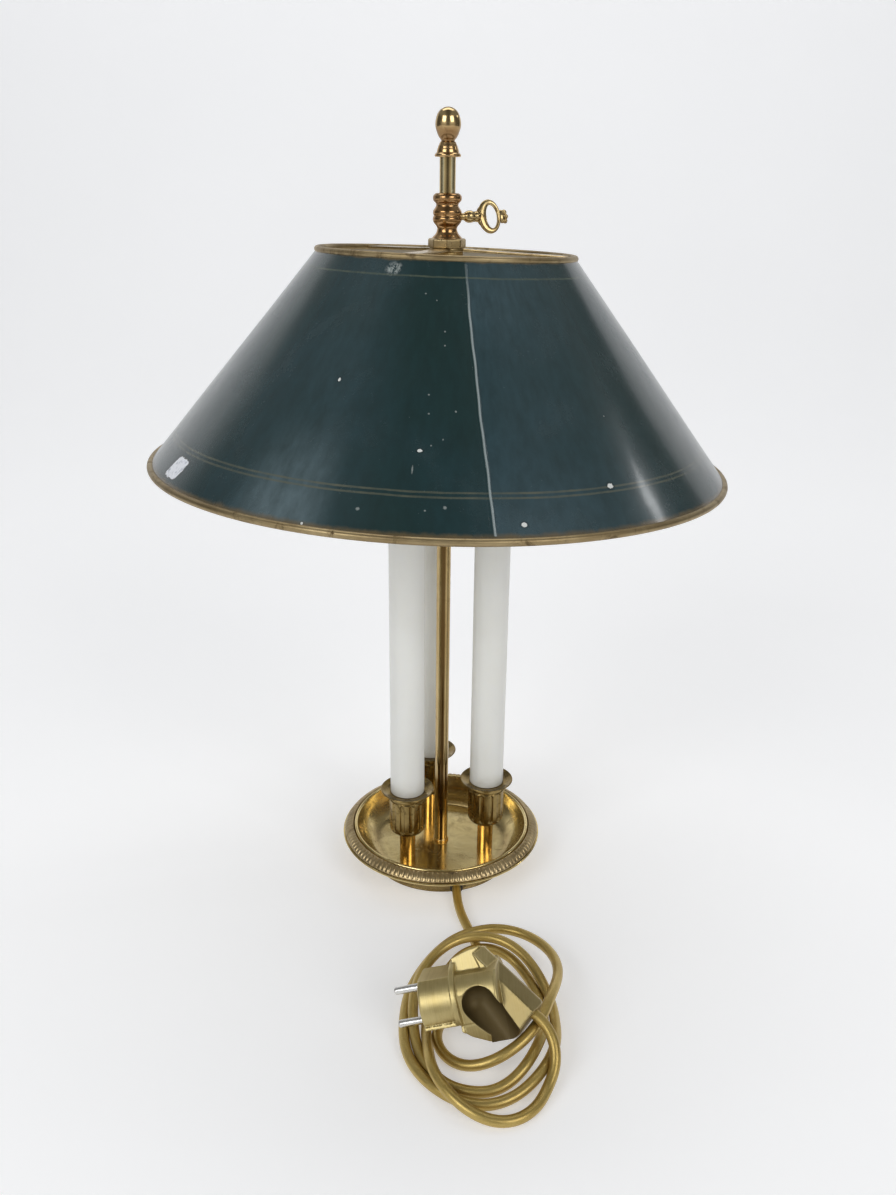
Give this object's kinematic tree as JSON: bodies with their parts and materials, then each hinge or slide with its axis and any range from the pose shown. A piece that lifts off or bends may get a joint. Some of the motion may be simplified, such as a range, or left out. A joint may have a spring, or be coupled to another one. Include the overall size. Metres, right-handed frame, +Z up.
{
  "type": "bouillotte lamp",
  "caption": "Table lamp with a round gadrooned dish, candle tubes in fluted cups round a central stem, and a wide conical metal shade held by a sliding collar with a thumb key.",
  "frame": {"origin": "centre of the foot's resting plane, on the stem's axis", "axes": "+Z up along the stem, +X to the right seen from the side where the cord leaves, +Y away from that side"},
  "size_m": [0.381, 0.4538, 0.532],
  "materials": {
    "green_felt": "dense wool felt",
    "black_iron": "painted iron",
    "nickel_plate": "nickel plate",
    "dish_brass": "polished brass, softly aged",
    "aged_brass": "antiqued brass",
    "cup_bronze": "dark bronzed brass",
    "candle_white": "off-white enamelled sleeve",
    "socket_plastic": "moulded thermoset",
    "bulb_glass": "frosted glass",
    "shade_lacquer": "dark blue-green lacquer, satin gloss",
    "cord_gold": "gold metallic plastic sheath",
    "plug_gold": "gold metallic moulded plastic",
    "black_rubber": "soft rubber",
    "lead_sheath": "wire insulation",
    "polished_brass": "polished brass"
  },
  "bodies": {
    "lamp": {"felt_pad": "green_felt", "cover_plate": "black_iron", "cover_screws": "nickel_plate", "base_weight": "black_iron", "foot_ring": "aged_brass", "base_dish": "dish_brass", "gadroon_ring": "aged_brass", "cord_bush": "black_rubber", "cord_clamp": "nickel_plate", "terminal_block": "socket_plastic", "supply_leads": "lead_sheath", "candle_leads": "lead_sheath", "stem_tube": "polished_brass", "stem_stud": "polished_brass", "stem_base_ring": "polished_brass", "stem_washer": "nickel_plate", "stem_locknut": "nickel_plate", "carrier_tube_left": "polished_brass", "carrier_tube_right": "polished_brass", "carrier_tube_rear": "polished_brass", "carrier_locknuts": "nickel_plate", "stub_sleeve_left": "polished_brass", "stub_sleeve_right": "polished_brass", "stub_sleeve_rear": "polished_brass", "candle_cup_left": "cup_bronze", "candle_cup_right": "cup_bronze", "candle_cup_rear": "cup_bronze", "cup_nuts": "nickel_plate", "candle_sleeve_left": "candle_white", "candle_sleeve_right": "candle_white", "candle_sleeve_rear": "candle_white", "lamp_socket_left": "socket_plastic", "lamp_socket_right": "socket_plastic", "lamp_socket_rear": "socket_plastic", "socket_shells": "polished_brass", "socket_contacts": "polished_brass", "cord": "cord_gold", "plug_body": "plug_gold", "plug_pins": "nickel_plate"},
    "collar": {"slider_collar": "polished_brass", "collar_ring_nut": "polished_brass"},
    "key": {"key_screw": "polished_brass"},
    "shade": {"spider": "polished_brass", "shade_top_ring": "aged_brass", "shade_cone": "shade_lacquer", "shade_bottom_bead": "aged_brass", "shade_seam": "shade_lacquer"},
    "finial": {"finial_knob": "polished_brass", "finial_bell": "polished_brass"},
    "bulb_left": {"bulb_cap_left": "nickel_plate", "bulb_glass_left": "bulb_glass"},
    "bulb_right": {"bulb_cap_right": "nickel_plate", "bulb_glass_right": "bulb_glass"},
    "bulb_rear": {"bulb_cap_rear": "nickel_plate", "bulb_glass_rear": "bulb_glass"}
  },
  "joints": [
    {"name": "collar_slide", "type": "slide", "parent": "lamp", "child": "collar", "axis": [0, 0, 1], "range_m": [-0.038, 0.019]},
    {"name": "key_turn", "type": "hinge", "parent": "collar", "child": "key", "pos_m": [0.01854, 0.00749, 0.469], "axis": [0.9272, 0.3746, 0], "range_deg": [-90, 720]},
    {"name": "shade_swivel", "type": "hinge", "parent": "collar", "child": "shade", "pos_m": [0, 0, 0.4495], "axis": [0, 0, 1], "continuous": true},
    {"name": "finial_unscrew", "type": "hinge", "parent": "lamp", "child": "finial", "pos_m": [0, 0, 0.51], "axis": [0, 0, 1], "range_deg": [0, 2160]},
    {"name": "bulb_left_unscrew", "type": "hinge", "parent": "lamp", "child": "bulb_left", "pos_m": [-0.02499, -0.02465, 0.313], "axis": [0, 0, 1], "range_deg": [0, 1260]},
    {"name": "bulb_right_unscrew", "type": "hinge", "parent": "lamp", "child": "bulb_right", "pos_m": [0.03384, -0.00932, 0.313], "axis": [0, 0, 1], "range_deg": [0, 1260]},
    {"name": "bulb_rear_unscrew", "type": "hinge", "parent": "lamp", "child": "bulb_rear", "pos_m": [-0.00885, 0.03397, 0.313], "axis": [0, 0, 1], "range_deg": [0, 1260]}
  ]
}
